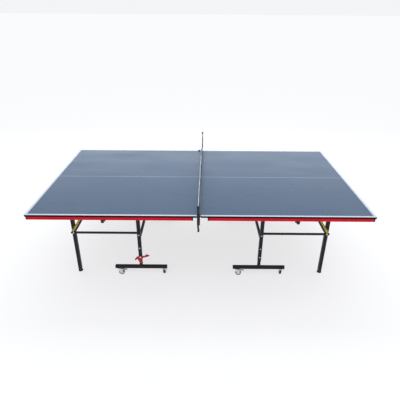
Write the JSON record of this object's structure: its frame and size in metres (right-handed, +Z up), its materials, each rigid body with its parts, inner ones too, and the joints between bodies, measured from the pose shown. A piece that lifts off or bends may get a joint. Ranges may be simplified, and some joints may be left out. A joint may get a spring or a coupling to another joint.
{
  "type": "table tennis table",
  "caption": "Rollaway table-tennis table: two folding halves on castered trolleys, with a clamped net set.",
  "frame": {"origin": "on the floor under the middle of the net", "axes": "+X along the table towards the right half, +Y towards the far side, +Z up"},
  "size_m": [2.74, 1.844, 0.9125],
  "materials": {
    "playing_surface": "matt blue paint on 15 mm board, white lines",
    "red_paint": "gloss powder coat",
    "black_paint": "satin powder coat",
    "yellow_paint": "gloss powder coat",
    "black_plastic": "moulded",
    "red_plastic": "moulded",
    "rubber": "matt",
    "zinc": "bright zinc plate",
    "caster_wheel": "dark tyre on a pale hub",
    "net_cloth": "knotted nylon",
    "net_tape": "woven cotton tape"
  },
  "bodies": {
    "left_trolley": {"left_trolley_frame": "black_paint", "left_trolley_feet": "black_paint", "left_foot_caps": "black_plastic", "left_trolley_bolts": "zinc"},
    "left_top": {"left_board": "playing_surface", "left_side_rails": "red_paint", "left_cross_rails": "red_paint", "left_rail_plugs": "black_plastic", "left_frame_lugs": "black_paint", "left_bumpers": "rubber", "near_net_post": "black_paint", "far_net_post": "black_paint", "net_mesh": "net_cloth", "net_tape": "net_tape"},
    "left_outer_legs": {"left_outer_frame": "black_paint", "left_outer_pins": "zinc"},
    "left_links": {"left_link_bars": "black_paint"},
    "left_release_bar": {"left_release_bar": "yellow_paint"},
    "left_latch_lever": {"left_latch_lever": "red_plastic"},
    "left_near_levelling_foot": {"left_near_levelling_foot": "rubber"},
    "left_far_levelling_foot": {"left_far_levelling_foot": "rubber"},
    "left_near_outer_caster_fork": {"left_near_outer_caster_fork": "zinc"},
    "left_near_outer_caster_wheel": {"left_near_outer_caster_wheel": "caster_wheel"},
    "left_near_outer_caster_brake": {"left_near_outer_caster_brake": "zinc"},
    "left_near_inner_caster_fork": {"left_near_inner_caster_fork": "zinc"},
    "left_near_inner_caster_wheel": {"left_near_inner_caster_wheel": "caster_wheel"},
    "left_far_inner_caster_fork": {"left_far_inner_caster_fork": "zinc"},
    "left_far_inner_caster_wheel": {"left_far_inner_caster_wheel": "caster_wheel"},
    "left_far_inner_caster_brake": {"left_far_inner_caster_brake": "zinc"},
    "left_far_outer_caster_fork": {"left_far_outer_caster_fork": "zinc"},
    "left_far_outer_caster_wheel": {"left_far_outer_caster_wheel": "caster_wheel"},
    "right_trolley": {"right_trolley_frame": "black_paint", "right_trolley_feet": "black_paint", "right_foot_caps": "black_plastic", "right_trolley_bolts": "zinc"},
    "right_top": {"right_board": "playing_surface", "right_side_rails": "red_paint", "right_cross_rails": "red_paint", "right_rail_plugs": "black_plastic", "right_frame_lugs": "black_paint", "right_bumpers": "rubber"},
    "right_outer_legs": {"right_outer_frame": "black_paint", "right_outer_pins": "zinc"},
    "right_links": {"right_link_bars": "black_paint"},
    "right_release_bar": {"right_release_bar": "yellow_paint"},
    "right_latch_lever": {"right_latch_lever": "red_plastic"},
    "right_far_levelling_foot": {"right_far_levelling_foot": "rubber"},
    "right_near_levelling_foot": {"right_near_levelling_foot": "rubber"},
    "right_far_outer_caster_fork": {"right_far_outer_caster_fork": "zinc"},
    "right_far_outer_caster_wheel": {"right_far_outer_caster_wheel": "caster_wheel"},
    "right_far_outer_caster_brake": {"right_far_outer_caster_brake": "zinc"},
    "right_far_inner_caster_fork": {"right_far_inner_caster_fork": "zinc"},
    "right_far_inner_caster_wheel": {"right_far_inner_caster_wheel": "caster_wheel"},
    "right_near_inner_caster_fork": {"right_near_inner_caster_fork": "zinc"},
    "right_near_inner_caster_wheel": {"right_near_inner_caster_wheel": "caster_wheel"},
    "right_near_inner_caster_brake": {"right_near_inner_caster_brake": "zinc"},
    "right_near_outer_caster_fork": {"right_near_outer_caster_fork": "zinc"},
    "right_near_outer_caster_wheel": {"right_near_outer_caster_wheel": "caster_wheel"},
    "near_clamp_screw": {"near_clamp_screw": "black_plastic"},
    "far_clamp_screw": {"far_clamp_screw": "black_plastic"}
  },
  "joints": [
    {"name": "left_fold", "type": "hinge", "parent": "left_trolley", "child": "left_top", "pos_m": [-0.486, 0, 0.7], "axis": [0, 1, 0], "range_deg": [0, 90], "deforming": ["net_mesh", "net_tape"]},
    {"name": "left_outer_leg_swing", "type": "hinge", "parent": "left_top", "child": "left_outer_legs", "pos_m": [-1.066, 0, 0.7], "axis": [0, 1, 0], "range_deg": [-90, 0]},
    {"name": "left_link_swing", "type": "hinge", "parent": "left_trolley", "child": "left_links", "pos_m": [-0.536, 0, 0.43], "axis": [0, 1, 0], "range_deg": [0, 90]},
    {"name": "left_release", "type": "hinge", "parent": "left_outer_legs", "child": "left_release_bar", "pos_m": [-1.116, 0, 0.43], "axis": [0, 1, 0], "range_deg": [0, 20], "stiffness_Nm_per_rad": 6, "springref_deg": -14.32},
    {"name": "left_latch", "type": "hinge", "parent": "left_trolley", "child": "left_latch_lever", "pos_m": [-0.536, -0.5265, 0.203], "axis": [0, -1, 0], "range_deg": [-12, 12]},
    {"name": "left_near_foot_screw", "type": "slide", "parent": "left_outer_legs", "child": "left_near_levelling_foot", "axis": [0, 0, -1], "range_m": [-0.006, 0.015]},
    {"name": "left_far_foot_screw", "type": "slide", "parent": "left_outer_legs", "child": "left_far_levelling_foot", "axis": [0, 0, -1], "range_m": [-0.006, 0.015]},
    {"name": "left_near_outer_caster_swivel", "type": "hinge", "parent": "left_trolley", "child": "left_near_outer_caster_fork", "pos_m": [-0.741, -0.507, 0.072], "axis": [0, 0, 1], "continuous": true},
    {"name": "left_near_outer_caster_roll", "type": "hinge", "parent": "left_near_outer_caster_fork", "child": "left_near_outer_caster_wheel", "pos_m": [-0.719, -0.507, 0.025], "axis": [0, 1, 0], "continuous": true},
    {"name": "left_near_outer_caster_brake_pedal", "type": "hinge", "parent": "left_near_outer_caster_fork", "child": "left_near_outer_caster_brake", "pos_m": [-0.707, -0.507, 0.054], "axis": [0, 1, 0], "range_deg": [0, 14]},
    {"name": "left_near_inner_caster_swivel", "type": "hinge", "parent": "left_trolley", "child": "left_near_inner_caster_fork", "pos_m": [-0.331, -0.507, 0.072], "axis": [0, 0, 1], "continuous": true},
    {"name": "left_near_inner_caster_roll", "type": "hinge", "parent": "left_near_inner_caster_fork", "child": "left_near_inner_caster_wheel", "pos_m": [-0.32531, -0.48575, 0.025], "axis": [-0.9659, 0.2588, 0], "continuous": true},
    {"name": "left_far_inner_caster_swivel", "type": "hinge", "parent": "left_trolley", "child": "left_far_inner_caster_fork", "pos_m": [-0.331, 0.507, 0.072], "axis": [0, 0, 1], "continuous": true},
    {"name": "left_far_inner_caster_roll", "type": "hinge", "parent": "left_far_inner_caster_fork", "child": "left_far_inner_caster_wheel", "pos_m": [-0.353, 0.507, 0.025], "axis": [0, -1, 0], "continuous": true},
    {"name": "left_far_inner_caster_brake_pedal", "type": "hinge", "parent": "left_far_inner_caster_fork", "child": "left_far_inner_caster_brake", "pos_m": [-0.365, 0.507, 0.054], "axis": [0, -1, 0], "range_deg": [0, 14]},
    {"name": "left_far_outer_caster_swivel", "type": "hinge", "parent": "left_trolley", "child": "left_far_outer_caster_fork", "pos_m": [-0.741, 0.507, 0.072], "axis": [0, 0, 1], "continuous": true},
    {"name": "left_far_outer_caster_roll", "type": "hinge", "parent": "left_far_outer_caster_fork", "child": "left_far_outer_caster_wheel", "pos_m": [-0.74292, 0.48508, 0.025], "axis": [0.9962, -0.0872, 0], "continuous": true},
    {"name": "halves_roll_apart", "type": "slide", "parent": "left_trolley", "child": "right_trolley", "axis": [1, 0, 0], "range_m": [0, 0.5]},
    {"name": "right_fold", "type": "hinge", "parent": "right_trolley", "child": "right_top", "pos_m": [0.486, 0, 0.7], "axis": [0, -1, 0], "range_deg": [0, 90]},
    {"name": "right_outer_leg_swing", "type": "hinge", "parent": "right_top", "child": "right_outer_legs", "pos_m": [1.066, 0, 0.7], "axis": [0, -1, 0], "range_deg": [-90, 0]},
    {"name": "right_link_swing", "type": "hinge", "parent": "right_trolley", "child": "right_links", "pos_m": [0.536, 0, 0.43], "axis": [0, -1, 0], "range_deg": [0, 90]},
    {"name": "right_release", "type": "hinge", "parent": "right_outer_legs", "child": "right_release_bar", "pos_m": [1.116, 0, 0.43], "axis": [0, -1, 0], "range_deg": [0, 20], "stiffness_Nm_per_rad": 6, "springref_deg": -14.32},
    {"name": "right_latch", "type": "hinge", "parent": "right_trolley", "child": "right_latch_lever", "pos_m": [0.536, 0.5265, 0.203], "axis": [0, 1, 0], "range_deg": [-12, 12]},
    {"name": "right_far_foot_screw", "type": "slide", "parent": "right_outer_legs", "child": "right_far_levelling_foot", "axis": [0, 0, -1], "range_m": [-0.006, 0.015]},
    {"name": "right_near_foot_screw", "type": "slide", "parent": "right_outer_legs", "child": "right_near_levelling_foot", "axis": [0, 0, -1], "range_m": [-0.006, 0.015]},
    {"name": "right_far_outer_caster_swivel", "type": "hinge", "parent": "right_trolley", "child": "right_far_outer_caster_fork", "pos_m": [0.741, 0.507, 0.072], "axis": [0, 0, 1], "continuous": true},
    {"name": "right_far_outer_caster_roll", "type": "hinge", "parent": "right_far_outer_caster_fork", "child": "right_far_outer_caster_wheel", "pos_m": [0.719, 0.507, 0.025], "axis": [0, -1, 0], "continuous": true},
    {"name": "right_far_outer_caster_brake_pedal", "type": "hinge", "parent": "right_far_outer_caster_fork", "child": "right_far_outer_caster_brake", "pos_m": [0.707, 0.507, 0.054], "axis": [0, -1, 0], "range_deg": [0, 14]},
    {"name": "right_far_inner_caster_swivel", "type": "hinge", "parent": "right_trolley", "child": "right_far_inner_caster_fork", "pos_m": [0.331, 0.507, 0.072], "axis": [0, 0, 1], "continuous": true},
    {"name": "right_far_inner_caster_roll", "type": "hinge", "parent": "right_far_inner_caster_fork", "child": "right_far_inner_caster_wheel", "pos_m": [0.32531, 0.48575, 0.025], "axis": [0.9659, -0.2588, 0], "continuous": true},
    {"name": "right_near_inner_caster_swivel", "type": "hinge", "parent": "right_trolley", "child": "right_near_inner_caster_fork", "pos_m": [0.331, -0.507, 0.072], "axis": [0, 0, 1], "continuous": true},
    {"name": "right_near_inner_caster_roll", "type": "hinge", "parent": "right_near_inner_caster_fork", "child": "right_near_inner_caster_wheel", "pos_m": [0.353, -0.507, 0.025], "axis": [0, 1, 0], "continuous": true},
    {"name": "right_near_inner_caster_brake_pedal", "type": "hinge", "parent": "right_near_inner_caster_fork", "child": "right_near_inner_caster_brake", "pos_m": [0.365, -0.507, 0.054], "axis": [0, 1, 0], "range_deg": [0, 14]},
    {"name": "right_near_outer_caster_swivel", "type": "hinge", "parent": "right_trolley", "child": "right_near_outer_caster_fork", "pos_m": [0.741, -0.507, 0.072], "axis": [0, 0, 1], "continuous": true},
    {"name": "right_near_outer_caster_roll", "type": "hinge", "parent": "right_near_outer_caster_fork", "child": "right_near_outer_caster_wheel", "pos_m": [0.74292, -0.48508, 0.025], "axis": [-0.9962, 0.0872, 0], "continuous": true},
    {"name": "near_clamp_travel", "type": "slide", "parent": "left_top", "child": "near_clamp_screw", "axis": [0, 0, -1], "range_m": [0, 0.02]},
    {"name": "far_clamp_travel", "type": "slide", "parent": "left_top", "child": "far_clamp_screw", "axis": [0, 0, -1], "range_m": [0, 0.02]}
  ],
  "couplings": [
    {"joint": "left_outer_leg_swing", "follows": "left_fold", "ratio": -1},
    {"joint": "left_link_swing", "follows": "left_fold", "ratio": 1},
    {"joint": "right_outer_leg_swing", "follows": "right_fold", "ratio": -1},
    {"joint": "right_link_swing", "follows": "right_fold", "ratio": 1}
  ]
}
